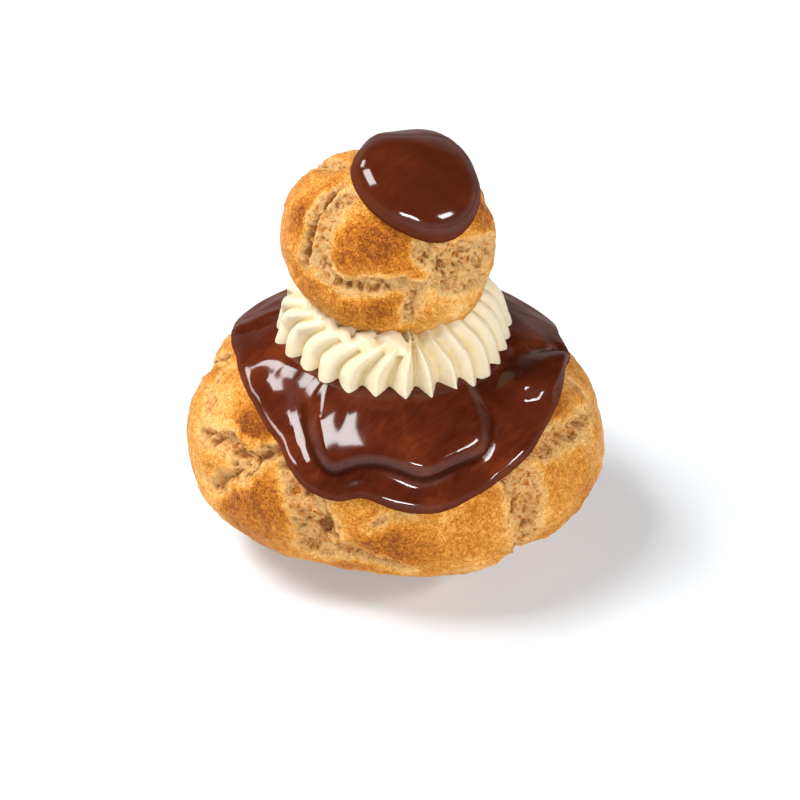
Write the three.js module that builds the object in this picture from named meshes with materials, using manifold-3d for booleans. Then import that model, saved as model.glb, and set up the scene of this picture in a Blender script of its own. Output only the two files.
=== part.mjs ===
// A religieuse: a large choux bun under a poured sheet of chocolate icing, a collar of piped
// buttercream on the icing, and a small choux bun with its own cap of icing, set in the cream and
// leaning to one side.
//
// Millimetres, +Z up. The origin is the middle of the base, on the surface that the pastry stands on.
// Azimuths are degrees from the front (-Y) towards the right (+X). Latitudes are degrees above the
// level of a bun's centre, and a reach is the angle in degrees from a bun's own upward axis.
import * as THREE from "three";
import Module from "manifold-3d";

const wasm = await Module();
wasm.setup();

const GAP = 0.3; // clearance between neighbouring solids
const SLIVER = 0.12; // faces narrower than this are smoothed away after a cut

// ---------------------------------------------------------------- the two buns

// How the crust of either bun is shaped.
const crustForm = {
  wave: 0.45, // slow swells of the crust
  waveSize: 9,
  ripple: 0.2, // finer swells on them
  rippleSize: 4.5,
  ragged: 0.5, // how far the edge of a split wanders
  raggedSize: 3.1,
  shoulder: 1.8, // how wide the edge of a plate curves down to a split
  narrow: 1.2, // splits of less half width than this are shallower
  crumb: 0.5, // how uneven the torn crumb in a split is
};

// swells: [azimuth, latitude, spread in degrees, height]. They make the outline uneven.
// splits: [azimuth, latitude, half width] along each line where the crust tore open in the oven.
const lowerBun = {
  centre: new THREE.Vector3(-0.3, 0, 20.5),
  lean: { azimuth: 0, angle: 0 },
  halfWidth: 39.8,
  halfDepth: 37.8,
  crown: 22.8,
  foot: 20.8,
  squareness: 2.3,
  floor: -20,
  crustRise: 1.3,
  splitDepth: 1.9,
  columns: 82,
  latitudes: [
    70, 52, 40, 32, 26.5, 22, 18, 14, 10, 6, 2, -2, -6, -10, -14, -18, -22.5, -27.5, -33.5, -41, -50,
    -66,
  ],
  swells: [
    [15, -20, 24, -0.8],
    [-20, -24, 22, -2.5],
    [2, -34, 16, -0.8],
    [30, -8, 16, 0.6],
    [-48, -22, 22, -1.1],
    [48, -30, 14, -2.6],
    [80, -12, 26, 1.0],
    [112, 4, 24, -0.7],
    [150, -6, 28, 0.9],
    [-150, -2, 30, 0.8],
    [-114, -20, 24, -0.9],
    [178, -16, 20, -1.0],
  ],
  splits: [
    // front left: a band that forks low down, and the open crumb beside the front lobe
    [[-31, 24, 1.0], [-41, 20, 1.3], [-49, 14, 2.4], [-58, 16, 1.6], [-65, 14, 1.5], [-74, 10, 1.1]],
    [[-49, 13, 1.9], [-55, 6, 1.4], [-63, -2, 0.9]],
    [[-35, 18, 0.8], [-28, 14, 3.0], [-25, 8, 3.8], [-22, 1, 4.6], [-20, -5, 3.4]],
    [[-26, -6, 1.9], [-14, -4, 1.7], [-5, -7, 1.4], [4, -12, 1.0]],
    // front: a short seam across the lobe, and a faint one down it
    [[6, 11, 0.7], [-1, 9, 0.6], [-6, 6, 0.5]],
    // front right: the widest tear, and a band that runs off to the right of it
    [[37, 20, 2.9], [40, 11, 3.9], [40, 2, 3.7], [41, -6, 3.1], [42, -18, 2.2]],
    [[46, 18, 2.2], [58, 17, 2.2], [69, 14, 1.7], [80, 12, 1.1]],
    [[84, 27, 0.9], [87, 20, 0.8], [86, 14, 0.6]],
    // the sides and the back
    [[-88, 26, 0.8], [-84, 20, 0.7], [-76, 16, 0.7]],
    [[-96, 24, 1.0], [-104, 12, 2.2], [-112, 2, 2.9], [-118, -10, 2.0]],
    [[-112, 4, 1.6], [-126, 8, 1.5], [-140, 5, 1.3], [-152, 10, 1.0]],
    [[-166, 20, 1.4], [-170, 8, 2.9], [-176, -4, 3.3], [-178, -16, 1.9]],
    [[180, 2, 1.8], [164, 8, 1.6], [150, 6, 1.2]],
    [[132, 22, 1.0], [128, 10, 2.4], [122, -1, 3.0], [120, -14, 1.9]],
    [[124, 6, 1.5], [112, 2, 1.5], [104, 6, 1.0]],
  ],
};

const upperBun = {
  centre: new THREE.Vector3(-1.1, 0, 64.5),
  lean: { azimuth: 58, angle: 22 },
  halfWidth: 20.4,
  halfDepth: 18.9,
  crown: 17.3,
  foot: 16.2,
  squareness: 2.1,
  floor: -15.8,
  crustRise: 0.8,
  splitDepth: 1.1,
  columns: 56,
  latitudes: [70, 55, 46, 39, 32, 26, 20, 14, 8, 2, -4, -10, -17, -25, -35, -48, -66],
  swells: [
    [-70, -6, 26, -0.8],
    [-105, 34, 24, -2.3],
    [-158, 48, 26, -3.7],
    [84, 44, 15, 0.6],
    [60, 4, 22, 0.4],
    [96, 2, 26, -1.7],
    [150, 6, 30, 0.4],
  ],
  splits: [
    // left: a deep groove, with open crumb on the near side of it
    [[-71, 41, 0.3], [-69, 37, 0.7], [-67, 32, 1.0], [-65, 23, 1.3], [-60, 16, 1.3], [-56, 6, 1.4],
      [-53, -5, 1.4]],
    [[-59, 43, 1.3], [-55, 31, 1.8], [-50, 20, 2.1], [-46, 7, 2.0], [-38, 1, 1.6]],
    // front: a belt of pits below the browned plate, and a seam down from it
    [[-37, 1, 1.2], [-26, 2, 1.6], [-17, 7, 1.6], [-8, 12, 1.4], [3, 17, 1.1], [14, 16, 1.1]],
    [[12, 15, 0.7], [14, 5, 0.9], [15, -7, 0.5]],
    // right: a broad wrinkled tear
    [[12, 37, 1.9], [30, 32, 3.2], [51, 30, 3.2], [77, 23, 2.0]],
    [[25, 20, 1.6], [47, 17, 1.9], [67, 10, 1.3]],
    // the back
    [[100, 40, 1.0], [108, 22, 2.0], [112, 6, 2.2], [110, -8, 1.4]],
    [[112, 10, 1.4], [130, 12, 1.3], [150, 8, 1.0]],
    [[-112, 36, 0.9], [-120, 18, 1.9], [-128, 2, 2.1], [-130, -12, 1.2]],
    [[170, 34, 0.9], [176, 16, 1.7], [178, -2, 1.5]],
  ],
};

// ---------------------------------------------------------------- the icing

// How either sheet of icing is shaped.
const icingForm = {
  least: 0.6, // the thinnest that icing gets away from its rim
  rimWidth: 3, // from the outline inwards, where folds and waves grow to their full height
  rimShare: 0.15, // how much of its thickness icing has at its outline
  wave: 0.12,
  waveSize: 7,
  bridge: 0.4, // the share of a bun's crust rise at which icing bridges the splits
};

// outline: [azimuth, reach] round the edge.
// terrace: the edge of a second pour that set on top of the first, as [azimuth, reach, how much of
// its step shows there]. The step rises over slope millimetres, or over faintSlope where little of
// it shows, and the second pour thins out over fade millimetres behind it. A foot above 1 hollows
// the step.
// folds: [azimuth, latitude, half width] along each wave of the set icing, with the wave's height.
// rows: where the mesh has its rows, as shares of the way from the cream's edge to the terrace's edge
// and, from 1 to 2, from there to the outline.
const lowerIcing = {
  bun: lowerBun,
  thickness: 1.5,
  edgeWidth: 1.9,
  bead: 0.5,
  columns: 68,
  hiddenRows: [18, 35],
  creamEdge: 42,
  rows: [0.2, 0.5, 0.75, 0.9, 1, 1.1, 1.3, 1.5, 1.68, 1.82, 1.93, 2],
  outline: [
    [-165, 64], [-136, 65], [-120, 67], [-105, 63.5], [-87, 59.5], [-71, 59.5], [-57, 61], [-48, 63.5],
    [-39, 66.5], [-32, 71.5], [-25, 75.5], [-16, 76.5], [-8, 75], [2, 78.3], [9, 79.3], [16, 78.7],
    [24, 76.3], [34, 74], [45, 71.3], [54, 68], [73, 64.6], [84, 64.3], [93, 66.2], [104, 65.5],
    [118, 69.5], [130, 66], [145, 64], [160, 67], [177, 69],
  ],
  terrace: {
    height: 1.8,
    slope: 3.4,
    faintSlope: 14,
    foot: 1.3,
    fade: 34,
    edge: [
      [-90, 52, 0], [-58, 50, 0.05], [-43, 51, 0.25], [-36, 57, 0.5], [-28, 63.5, 0.8], [-19, 69, 1],
      [-10, 66.3, 1], [-2, 66, 1], [9, 69.3, 1], [20, 67.4, 1], [30, 66, 0.85], [37, 60, 0.55],
      [43, 53, 0.3], [56, 50, 0.1], [90, 52, 0], [180, 52, 0],
    ],
  },
  folds: [
    { height: 2.1, path: [[58, 36.5, 2.4], [67, 34.5, 3.4], [78, 32, 3.4], [87, 30, 2.4]] },
    { height: -1.2, path: [[54, 41.5, 1.2], [66, 41.4, 1.6], [78, 40, 1.6], [87, 35, 1.4], [93, 28, 1.2]] },
    { height: -1.2, path: [[47, 43, 2.2], [46, 39.5, 3.0], [46, 35, 3.4], [45, 31, 3.0], [42, 27, 2.0]] },
    { height: 1.0, path: [[1, 46, 5.5], [2, 40, 6.5], [4, 29, 6.0]] },
    { height: -0.8, path: [[-62, 36, 3.0], [-50, 35, 4.0], [-42, 32, 4.4], [-34, 27, 3.0]] },
    { height: 0.8, path: [[-112, 44, 1.5], [-108, 36, 2.2], [-104, 30, 1.6]] },
    { height: 0.9, path: [[-158, 44, 1.6], [-160, 36, 2.4], [-160, 30, 1.8]] },
    { height: 0.9, path: [[150, 42, 1.5], [146, 35, 2.4], [144, 29, 1.6]] },
    { height: -0.8, path: [[-176, 44, 1.5], [178, 36, 2.0], [176, 30, 1.2]] },
  ],
};

const upperIcing = {
  bun: upperBun,
  thickness: 3.5,
  edgeWidth: 4.5,
  bead: 0,
  columns: 40,
  hiddenRows: [],
  creamEdge: 0,
  rows: [0.5, 0.9, 1.3, 1.6, 1.8, 1.93, 2],
  outline: [
    [-172, 55], [-150, 50], [-130, 44.5], [-110, 39.5], [-90, 39], [-75, 40.4], [-58, 41.6], [-40, 43],
    [-22, 44.4], [-5, 45.6], [10, 47.2], [24, 47.6], [38, 46], [52, 42.6], [66, 39], [82, 36],
    [100, 34], [120, 35.5], [140, 40], [155, 47], [168, 54],
  ],
  folds: [
    { height: 0.5, path: [[-160, 62, 7.5], [-150, 72, 8.0], [0, 88, 8.0]] },
    { height: 0.8, path: [[-166, 46, 5.5], [-174, 45, 5.5]] },
  ],
};

// ---------------------------------------------------------------- the cream

const cream = {
  axis: new THREE.Vector2(-0.6, 0), // x, y of the middle of the collar
  // Each piped shell: [azimuth, radius of its tip, depth of the grooves beside it, how sharp its crest
  // is, how far its top is turned aside, how far its shelf stands out over its tip].
  // It was piped by hand: plump and swirled aside on the left, sharp in front, flatter on the right.
  shells: [
    [-172, 23.6, 2.2, 0.3, 10, 0.2], [-158, 23.4, 2.2, 0.2, 12, 0.3], [-144, 23.7, 2.3, 0.2, 15, 0.5],
    [-129, 23.4, 2.3, 0.1, 18, 0.6], [-115, 23.2, 2.4, 0.1, 20, 0.7], [-100, 23, 2.6, 0.1, 22, 0.8],
    [-85.5, 22.7, 2.7, 0.1, 23, 0.9], [-71, 21.9, 2.8, 0.1, 23, 1], [-54.5, 21.2, 2.8, 0.1, 23, 1],
    [-37.5, 22.1, 2.9, 0.1, 23, 1], [-22.3, 23.5, 3, 0.2, 20, 0.9], [-8.3, 24.1, 3, 0.5, 13, 0.6],
    [6.3, 24.9, 2.8, 0.8, 5, 0.2], [17.9, 24.9, 2.9, 1, -4, 0], [31.3, 23.9, 2.5, 0.8, -8, 0],
    [42, 23.3, 2, 0.5, -8, 0], [53.5, 23.4, 1.9, 0.4, -7, 0], [65, 22.9, 1.8, 0.3, -6, 0],
    [77, 22.9, 1.8, 0.2, -5, 0], [89, 23.2, 1.9, 0.2, -4, 0], [103, 24.1, 2.1, 0.2, -2, 0],
    [117, 24, 2.1, 0.2, 0, 0], [131, 23.8, 2.1, 0.2, 3, 0.1], [145, 23.6, 2.2, 0.3, 6, 0.1],
    [159, 23.8, 2.2, 0.3, 8, 0.2],
  ],
  shellColumns: 6,
  // The crest of a shell, from under the small bun to its tip on the icing, as [radius, height], and
  // where along it the mesh has its rows.
  crest: [[12.5, 52.5], [18.3, 56.6], [21.6, 51.8], [23.6, 42.2]],
  rows: [0.2, 0.34, 0.44, 0.54, 0.64, 0.75, 0.88, 1],
  turnedFrom: 0.36, // where along its crest a shell swings from its turned top
  turnedTo: 0.86, // to its own azimuth
  shelfAt: 0.58, // where along its crest its shelf is
  shelfLength: 0.14,
  bluntness: 2.6, // how flat the back of a blunt shell is
  sharpness: 1.3, // how hollow the sides of a sharp one are
  rootDepth: 0.5, // the share of a groove's depth under the small bun
  tipDepth: 1.35, // and the share of it between two sharp tips
  underside: { radius: 18.5, height: 40 },
  // Small curls of cream on the shells, close against the small bun: [azimuth, radius, size].
  curls: [
    [-70, 17.6, 1.5], [-54, 17.2, 1.7], [-40, 17.6, 1.5], [-29, 18.2, 1.6], [-15, 19, 2], [2, 19.2, 2.3],
  ],
  curlHeight: 53,
  curlSides: 7,
  curlLean: { azimuth: -50, latitude: -20 }, // where its upper end points, seen from the middle
  curlProfile: [[0.9, 0.7], [0, 1], [-0.9, 0.75]], // [along, half width] for a curl of size 1
  curlEnd: 1.5,
};

const colours = { crust: 0xc98a45, chocolate: 0x4a2013, cream: 0xf6ebc4 };

// ---------------------------------------------------------------- small sums

const radians = THREE.MathUtils.degToRad;
const { clamp, lerp, smoothstep } = THREE.MathUtils;

// The unit vector at an azimuth and a latitude.
function direction(azimuth, latitude) {
  const a = radians(azimuth);
  const l = radians(latitude);
  return new THREE.Vector3(Math.cos(l) * Math.sin(a), -Math.cos(l) * Math.cos(a), Math.sin(l));
}

// The same draws on every run.
function seededRandom(seed) {
  let state = seed;
  return () => {
    state = (state + 0x6d2b79f5) | 0;
    let t = Math.imul(state ^ (state >>> 15), 1 | state);
    t = (t + Math.imul(t ^ (t >>> 7), 61 | t)) ^ t;
    return ((t ^ (t >>> 14)) >>> 0) / 4294967296;
  };
}

// A smooth, uneven field between about -1 and 1, whose bumps are about `size` across.
function unevenness(p, size) {
  const k = Math.PI / size;
  return (
    0.5 * Math.sin(k * (p.x + 0.6 * p.y) + 1.3) * Math.cos(k * (p.z - 0.4 * p.x) + 0.4) +
    0.5 * Math.sin(1.7 * k * (p.y - 0.5 * p.z) + 2.1) * Math.cos(1.3 * k * (p.x + 0.7 * p.z) + 5.2)
  );
}

// An angle in degrees, brought between 0 and 360.
function wholeTurn(angle) {
  return ((angle % 360) + 360) % 360;
}

// A closed curve of values through [azimuth, value, ...] points, by Catmull-Rom, read at an azimuth.
function roundCurve(points, azimuth, column = 1) {
  const n = points.length;
  const after = (i) => wholeTurn(azimuth - points[i][0]);
  const span = (i) => wholeTurn(points[(i + 1) % n][0] - points[i][0]);
  let i = 0;
  while (i < n - 1 && after(i) >= span(i)) i += 1;
  const t = after(i) / span(i);
  const [a, b, c, d] = [-1, 0, 1, 2].map((k) => points[(i + k + n) % n][column]);
  const bend = 2 * a - 5 * b + 4 * c - d;
  return 0.5 * (2 * b + (c - a) * t + bend * t * t + (3 * b - a - 3 * c + d) * t ** 3);
}

// ---------------------------------------------------------------- solids from rings

// A closed mesh from rings of points between two end points. Seen from the first end, the points run
// anticlockwise.
function ringSolid(first, rings, last) {
  const columns = rings[0].length;
  const points = [first, ...rings.flat(), last];
  const triangles = [];
  const at = (row, column) => 1 + row * columns + (column % columns);
  for (let column = 0; column < columns; column += 1) {
    triangles.push(0, at(0, column), at(0, column + 1));
    for (let row = 0; row < rings.length - 1; row += 1) {
      triangles.push(at(row, column), at(row + 1, column), at(row + 1, column + 1));
      triangles.push(at(row, column), at(row + 1, column + 1), at(row, column + 1));
    }
    const end = rings.length - 1;
    triangles.push(at(end, column), points.length - 1, at(end, column + 1));
  }
  const vertProperties = new Float32Array(points.flatMap((p) => [p.x, p.y, p.z]));
  return new wasm.Manifold(
    new wasm.Mesh({ numProp: 3, vertProperties, triVerts: new Uint32Array(triangles) }),
  );
}

function azimuths(columns) {
  return Array.from({ length: columns }, (_, i) => (360 * i) / columns - 180);
}

// The largest body of a solid, with its slivers smoothed away. The loose scraps and sealed
// pockets that a cut leaves over are dropped.
function largest(solid) {
  const biggest = (s) => s.decompose().sort((a, b) => b.volume() - a.volume())[0];
  return biggest(biggest(solid).simplify(SLIVER));
}

// ---------------------------------------------------------------- bun surfaces

// The radius of the smooth bun in a direction, swells included.
function plainRadius(bun, d) {
  const upright = Math.abs(d.z) / (d.z > 0 ? bun.crown : bun.foot);
  const across = Math.hypot(d.x / bun.halfWidth, d.y / bun.halfDepth);
  const round = (across ** bun.squareness + upright ** bun.squareness) ** (-1 / bun.squareness);
  const swell = bun.swells.reduce((sum, [azimuth, latitude, spread, height]) => {
    const angle = THREE.MathUtils.radToDeg(d.angleTo(direction(azimuth, latitude)));
    return sum + height * Math.exp(-((angle / spread) ** 2));
  }, 0);
  return round + swell;
}

function plainPoint(bun, azimuth, latitude) {
  const d = direction(azimuth, latitude);
  return d.multiplyScalar(plainRadius(bun, d));
}

// A line of [azimuth, latitude, half width] laid on the smooth bun.
function lineOnBun(bun, path) {
  return path.map(([azimuth, latitude, half]) => ({ point: plainPoint(bun, azimuth, latitude), half }));
}

// How far a point lies outside the edge of a line, less than zero inside it, and the line's half width.
function outsideLine(point, line) {
  let best = { distance: Infinity, half: 1 };
  const closest = new THREE.Vector3();
  for (let i = 0; i < line.length - 1; i += 1) {
    const segment = new THREE.Line3(line[i].point, line[i + 1].point);
    const t = segment.closestPointToPointParameter(point, true);
    const half = lerp(line[i].half, line[i + 1].half, t);
    const distance = segment.at(t, closest).distanceTo(point) - half;
    if (distance < best.distance) best = { distance, half };
  }
  return best;
}

// How far the crust stands above the smooth bun at a point: domed plates, and torn splits between them.
function crustRelief(bun, lines, p, random = () => 0.5) {
  let nearest = { distance: Infinity, half: 1 };
  for (const line of lines) {
    const found = outsideLine(p, line);
    if (found.distance < nearest.distance) nearest = found;
  }
  const { wave, waveSize, ripple, rippleSize, ragged, raggedSize, shoulder, narrow, crumb } = crustForm;
  const outside = nearest.distance + ragged * unevenness(p, raggedSize);
  const waves = wave * unevenness(p, waveSize) + ripple * unevenness(p, rippleSize);
  if (outside > 0) return bun.crustRise * (1 - Math.exp(-outside / shoulder)) + waves;
  const openness = Math.min(1, nearest.half / narrow);
  const depth = bun.splitDepth * openness * smoothstep(-outside, 0, 0.8 * nearest.half);
  return waves - depth + crumb * (random() - 0.5);
}

// A bun's solid in its own frame, grown all over by `grow`.
function bunSolid(bun, grow = 0) {
  const random = seededRandom(7);
  const lines = bun.splits.map((path) => lineOnBun(bun, path));
  const pointAt = (azimuth, latitude) => {
    const d = direction(azimuth, latitude);
    const p = d.clone().multiplyScalar(plainRadius(bun, d));
    p.addScaledVector(d, crustRelief(bun, lines, p, random) + grow);
    p.z = Math.max(p.z, bun.floor - grow);
    return p;
  };
  const rings = bun.latitudes.map((latitude) => azimuths(bun.columns).map((a) => pointAt(a, latitude)));
  return ringSolid(pointAt(0, 90), rings, new THREE.Vector3(0, 0, bun.floor - grow));
}

// ---------------------------------------------------------------- icing surfaces

// How thick the icing is at an azimuth and a reach, where p is the bun's surface there.
function icingThickness(icing, lines, azimuth, reach, p) {
  const { least, rimWidth, rimShare, wave, waveSize } = icingForm;
  const toMillimetres = radians(1) * p.length();
  const inside = (roundCurve(icing.outline, azimuth) - reach) * toMillimetres;
  const full = clamp(inside / rimWidth, 0, 1);
  const rounded = Math.sqrt(1 - (1 - clamp(inside / icing.edgeWidth, 0, 1)) ** 2);
  const bead = icing.bead * Math.exp(-(((inside - icing.edgeWidth) / icing.edgeWidth) ** 2));
  let thickness = (icing.thickness + bead) * lerp(rimShare, 1, rounded);
  if (icing.terrace) {
    const { edge, height, slope, faintSlope, foot, fade } = icing.terrace;
    const behind = (roundCurve(edge, azimuth) - reach) * toMillimetres;
    const shown = clamp(roundCurve(edge, azimuth, 2), 0, 1);
    const across = clamp(behind / lerp(faintSlope, slope, shown), 0, 1);
    const step = (1 - (1 - across) ** 2) ** foot;
    thickness += height * shown * step * (1 - smoothstep(behind, 0, fade));
  }
  icing.folds.forEach((fold, i) => {
    const { distance, half } = outsideLine(p, lines[i]);
    const near = smoothstep(-distance, -half, half);
    thickness += fold.height * near * full;
  });
  return Math.max(thickness, least * lerp(rimShare, 1, full)) + wave * unevenness(p, waveSize) * full;
}

// The reach of a mesh row at an azimuth.
function rowReach(icing, row, azimuth) {
  const outline = roundCurve(icing.outline, azimuth);
  const half = (icing.creamEdge + outline) / 2;
  const middle = icing.terrace ? Math.min(roundCurve(icing.terrace.edge, azimuth), outline - 7) : half;
  return row < 1 ? lerp(icing.creamEdge, middle, row) : lerp(middle, outline, row - 1);
}

// The icing's solid down to the bun's centre, grown by `grow`. The bun is cut out of it afterwards.
function icingBlock(icing, grow = 0) {
  const { bun } = icing;
  const splits = bun.splits.map((path) => lineOnBun(bun, path));
  const lines = icing.folds.map((fold) => lineOnBun(bun, fold.path));
  const pointAt = (azimuth, reach) => {
    const d = direction(azimuth, 90 - reach);
    const p = d.clone().multiplyScalar(plainRadius(bun, d));
    const crust = Math.max(crustRelief(bun, splits, p), icingForm.bridge * bun.crustRise);
    return p.addScaledVector(d, crust + GAP + icingThickness(icing, lines, azimuth, reach, p) + grow);
  };
  const ringOf = (reachAt) => azimuths(icing.columns).map((a) => pointAt(a, reachAt(a)));
  const rings = [
    ...icing.hiddenRows.map((reach) => ringOf(() => reach)),
    ...icing.rows.map((row) => ringOf((azimuth) => rowReach(icing, row, azimuth))),
  ];
  return ringSolid(pointAt(0, 0), rings, new THREE.Vector3());
}

// ---------------------------------------------------------------- the cream

// A point of the fluted ring of shells: `along` a shell's crest from 0 to 1, and `across` it from the
// groove before it at -1 to the groove after it at 1.
function shellPoint(shell, before, after, along, across) {
  const next = across < 0 ? before : after;
  const share = Math.abs(across) / 2;
  const gap = wholeTurn(across < 0 ? shell[0] - next[0] : next[0] - shell[0]);
  const [, radius, depth, sharp, turned, shelf] = shell.map((value, i) => lerp(value, next[i], share));
  const swung = turned * (1 - smoothstep(along, cream.turnedFrom, cream.turnedTo));
  const azimuth = shell[0] + 0.5 * across * gap + swung;
  const shift = radius - cream.crest.at(-1)[0];
  const crest = new THREE.CubicBezierCurve(
    ...cream.crest.map(([r, height], i) => new THREE.Vector2(r + (i ? shift : 0), height)),
  );
  const heading = crest.getTangent(along);
  const { bluntness, sharpness, rootDepth, tipDepth } = cream;
  const blunt = Math.sqrt(1 - Math.abs(across) ** bluntness);
  const ridge = lerp(blunt, (1 - Math.abs(across)) ** sharpness, sharp);
  const opened = lerp(rootDepth, 1, smoothstep(along, 0, 0.35));
  const deepening = opened * lerp(1, tipDepth, sharp * smoothstep(along, 0.72, 1));
  const rise = shelf * Math.exp(-(((along - cream.shelfAt) / cream.shelfLength) ** 2));
  const sunk = depth * (1 - ridge) * deepening - rise;
  const top = crest.getPoint(along);
  return direction(azimuth, 0)
    .multiplyScalar(top.x + heading.y * sunk)
    .setZ(top.y - heading.x * sunk);
}

// The ring of shells, fluted all round and closed under the small bun and on the icing.
function shellsSolid() {
  const { shells, shellColumns, rows, crest, underside } = cream;
  const wrapped = (i) => shells[(i + shells.length) % shells.length];
  const steps = Array.from({ length: shellColumns }, (_, k) => -1 + (2 * k) / shellColumns);
  const ringAt = (along) =>
    shells.flatMap((shell, i) =>
      steps.map((across) => shellPoint(shell, wrapped(i - 1), wrapped(i + 1), along, across)),
    );
  const rings = rows.map(ringAt);
  const { radius, height } = underside;
  rings.push(rings.at(-1).map((p) => p.clone().setZ(0).setLength(radius).setZ(height)));
  return ringSolid(new THREE.Vector3(0, 0, crest[0][1]), rings, new THREE.Vector3(0, 0, height));
}

// A small curl, as a leaning egg of cream.
function curlSolid([azimuth, radius, size]) {
  const { curlHeight, curlSides, curlLean, curlProfile, curlEnd } = cream;
  const centre = direction(azimuth, 0).multiplyScalar(radius).setZ(curlHeight);
  const lean = new THREE.Quaternion().setFromUnitVectors(
    new THREE.Vector3(0, 0, 1),
    direction(azimuth + curlLean.azimuth, curlLean.latitude),
  );
  const place = (p) => p.multiplyScalar(size).applyQuaternion(lean).add(centre);
  const ring = ([z, wide]) =>
    azimuths(curlSides).map((a) => place(direction(a, 0).multiplyScalar(wide).setZ(z)));
  const ends = [curlEnd, -curlEnd].map((z) => place(new THREE.Vector3(0, 0, z)));
  return ringSolid(ends[0], curlProfile.map(ring), ends[1]);
}

function collarSolid() {
  const parts = [shellsSolid(), ...cream.curls.map(curlSolid)];
  return wasm.Manifold.union(parts).translate([cream.axis.x, cream.axis.y, 0]);
}

// ---------------------------------------------------------------- assembly

// A group at a bun's centre, turned so that its Z is the bun's own axis.
function bunFrame(bun) {
  const frame = new THREE.Group();
  frame.position.copy(bun.centre);
  const hinge = new THREE.Vector3(0, 0, 1).cross(direction(bun.lean.azimuth, 0)).normalize();
  frame.quaternion.setFromAxisAngle(hinge, radians(bun.lean.angle));
  frame.updateMatrix();
  return frame;
}

function moved(solid, frame) {
  return solid.transform(frame.matrix.toArray());
}

function namedMesh(name, solid, material) {
  const { vertProperties, triVerts } = solid.getMesh();
  const geometry = new THREE.BufferGeometry();
  geometry.setAttribute("position", new THREE.BufferAttribute(vertProperties, 3));
  geometry.setIndex(new THREE.BufferAttribute(triVerts, 1));
  geometry.computeVertexNormals();
  const mesh = new THREE.Mesh(geometry, material);
  mesh.name = name;
  return mesh;
}

function look(color, roughness) {
  return new THREE.MeshStandardMaterial({ color, roughness, metalness: 0 });
}

const crust = look(colours.crust, 0.75);
const chocolate = look(colours.chocolate, 0.15);
const butter = look(colours.cream, 0.45);

const lowerFrame = bunFrame(lowerBun);
const upperFrame = bunFrame(upperBun);

const lowerCut = icingBlock(lowerIcing).subtract(bunSolid(lowerBun, GAP));
const upperCut = icingBlock(upperIcing).subtract(bunSolid(upperBun, GAP));

// The cream lies on plainer copies of its neighbours, because the faces that touch are hidden.
const underCream = { ...lowerIcing, columns: 38, hiddenRows: [22, 35], rows: [0.4, 1, 2] };
const overCream = { ...upperBun, columns: 30, latitudes: [60, 20, 4, -8, -20, -32, -46, -64] };
const collar = collarSolid()
  .subtract(moved(icingBlock(underCream, 2.2 * GAP), lowerFrame))
  .subtract(moved(bunSolid(overCream, 2.2 * GAP), upperFrame));

lowerFrame.add(namedMesh("lower_bun", bunSolid(lowerBun), crust));
lowerFrame.add(namedMesh("lower_icing", largest(lowerCut), chocolate));
upperFrame.add(namedMesh("upper_bun", bunSolid(upperBun), crust));
upperFrame.add(namedMesh("upper_icing", largest(upperCut), chocolate));

const pastry = new THREE.Group();
pastry.add(lowerFrame, upperFrame, namedMesh("cream_collar", largest(collar), butter));

// The whole stands on its base, with the middle of its bounding box over the origin.
const religieuse = new THREE.Group();
religieuse.add(pastry);
const box = new THREE.Box3().setFromObject(pastry, true);
const middle = box.getCenter(new THREE.Vector3());
pastry.position.set(-middle.x, -middle.y, -box.min.z);

export default religieuse;
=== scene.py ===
"""The looks of a religieuse: torn and browned choux crust, poured chocolate icing and piped buttercream.

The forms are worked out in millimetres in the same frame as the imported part, then scaled to metres.
Azimuths are degrees from the front (-Y) towards the right (+X). Latitudes are degrees above the level of
a bun's centre, and a reach is the angle from a bun's own upward axis.
"""

import math

import bpy
import numpy as np
from mathutils import Euler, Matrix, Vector


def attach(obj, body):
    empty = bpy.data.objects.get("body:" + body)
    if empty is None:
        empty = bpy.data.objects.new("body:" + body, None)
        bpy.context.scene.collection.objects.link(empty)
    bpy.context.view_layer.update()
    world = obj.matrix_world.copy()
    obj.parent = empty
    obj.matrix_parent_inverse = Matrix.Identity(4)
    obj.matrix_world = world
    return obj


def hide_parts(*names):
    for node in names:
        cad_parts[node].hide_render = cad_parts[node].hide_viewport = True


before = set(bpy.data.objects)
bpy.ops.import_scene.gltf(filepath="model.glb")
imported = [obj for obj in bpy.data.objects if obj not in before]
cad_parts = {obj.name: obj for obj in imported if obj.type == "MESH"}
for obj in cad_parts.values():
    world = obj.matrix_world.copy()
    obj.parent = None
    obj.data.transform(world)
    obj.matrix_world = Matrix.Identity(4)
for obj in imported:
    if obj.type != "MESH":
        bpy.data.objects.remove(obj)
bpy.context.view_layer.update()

MM = 0.001
SHIFT = np.array([-0.015, 0.122, -0.5])  # from the frame of the sizes below to the part's frame

# ------------------------------------------------------------------ sizes

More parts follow.
